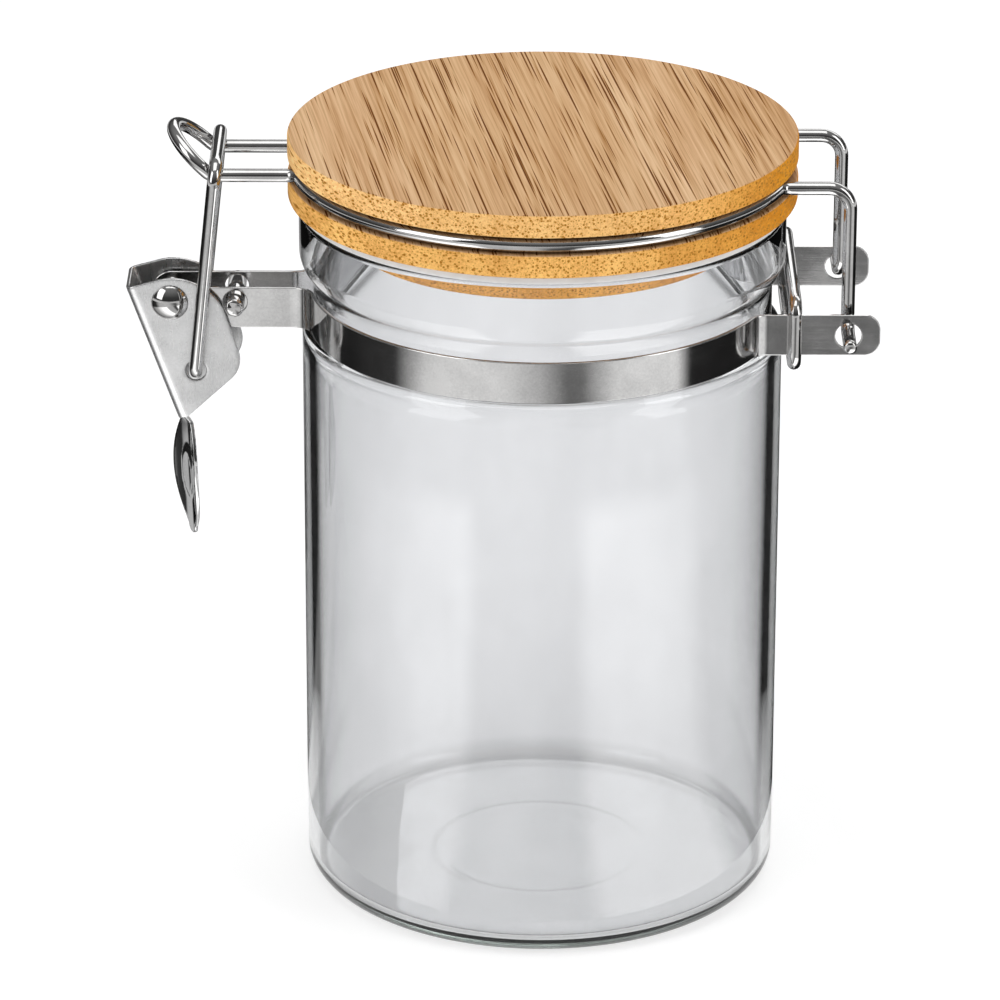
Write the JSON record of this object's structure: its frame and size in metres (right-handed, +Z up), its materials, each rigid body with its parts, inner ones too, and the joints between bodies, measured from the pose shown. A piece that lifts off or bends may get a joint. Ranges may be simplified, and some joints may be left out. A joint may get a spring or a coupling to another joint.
{
  "type": "lidded glass canister",
  "caption": "Round clear glass storage canister with a bamboo lid held by a hinged wire and pulled shut by an over-centre lever latch.",
  "frame": {"origin": "centre of the underside of the jar, on its axis", "axes": "+Z up along the jar's axis, +X towards the hinge, -X towards the lever latch; the metalwork mirrors across y = 0"},
  "size_m": [0.1549, 0.105, 0.1664],
  "materials": {
    "clear_glass": "clear, polished",
    "band_steel": "polished stainless strip",
    "wire_steel": "polished stainless wire",
    "lever_steel": "satin stainless sheet",
    "bamboo": "natural bamboo, oiled",
    "silicone": "translucent white silicone"
  },
  "bodies": {
    "canister": {"glass_jar": "clear_glass", "front_band": "band_steel", "back_band": "band_steel", "hinge_link_ring": "wire_steel", "latch_tie_pin": "wire_steel", "lever_rivet": "wire_steel"},
    "lid": {"lid_wire": "wire_steel", "bamboo_lid": "bamboo", "lid_gasket": "silicone"},
    "lever": {"latch_lever": "lever_steel"},
    "bail": {"latch_bail": "wire_steel"}
  },
  "joints": [
    {"name": "lid_hinge", "type": "hinge", "parent": "canister", "child": "lid", "pos_m": [0.0624, 0, 0.1273], "axis": [0, 1, 0], "range_deg": [0, 200]},
    {"name": "lever_pivot", "type": "hinge", "parent": "canister", "child": "lever", "pos_m": [-0.0769, 0, 0.129], "axis": [0, 1, 0], "range_deg": [0, 125], "deforming": ["latch_bail"]},
    {"name": "bail_pivot", "type": "hinge", "parent": "lever", "child": "bail", "pos_m": [-0.0718, 0, 0.114], "axis": [0, 1, 0], "range_deg": [-161, 0]}
  ],
  "couplings": [
    {"joint": "bail_pivot", "follows": "lever_pivot", "ratio": -1.28}
  ]
}
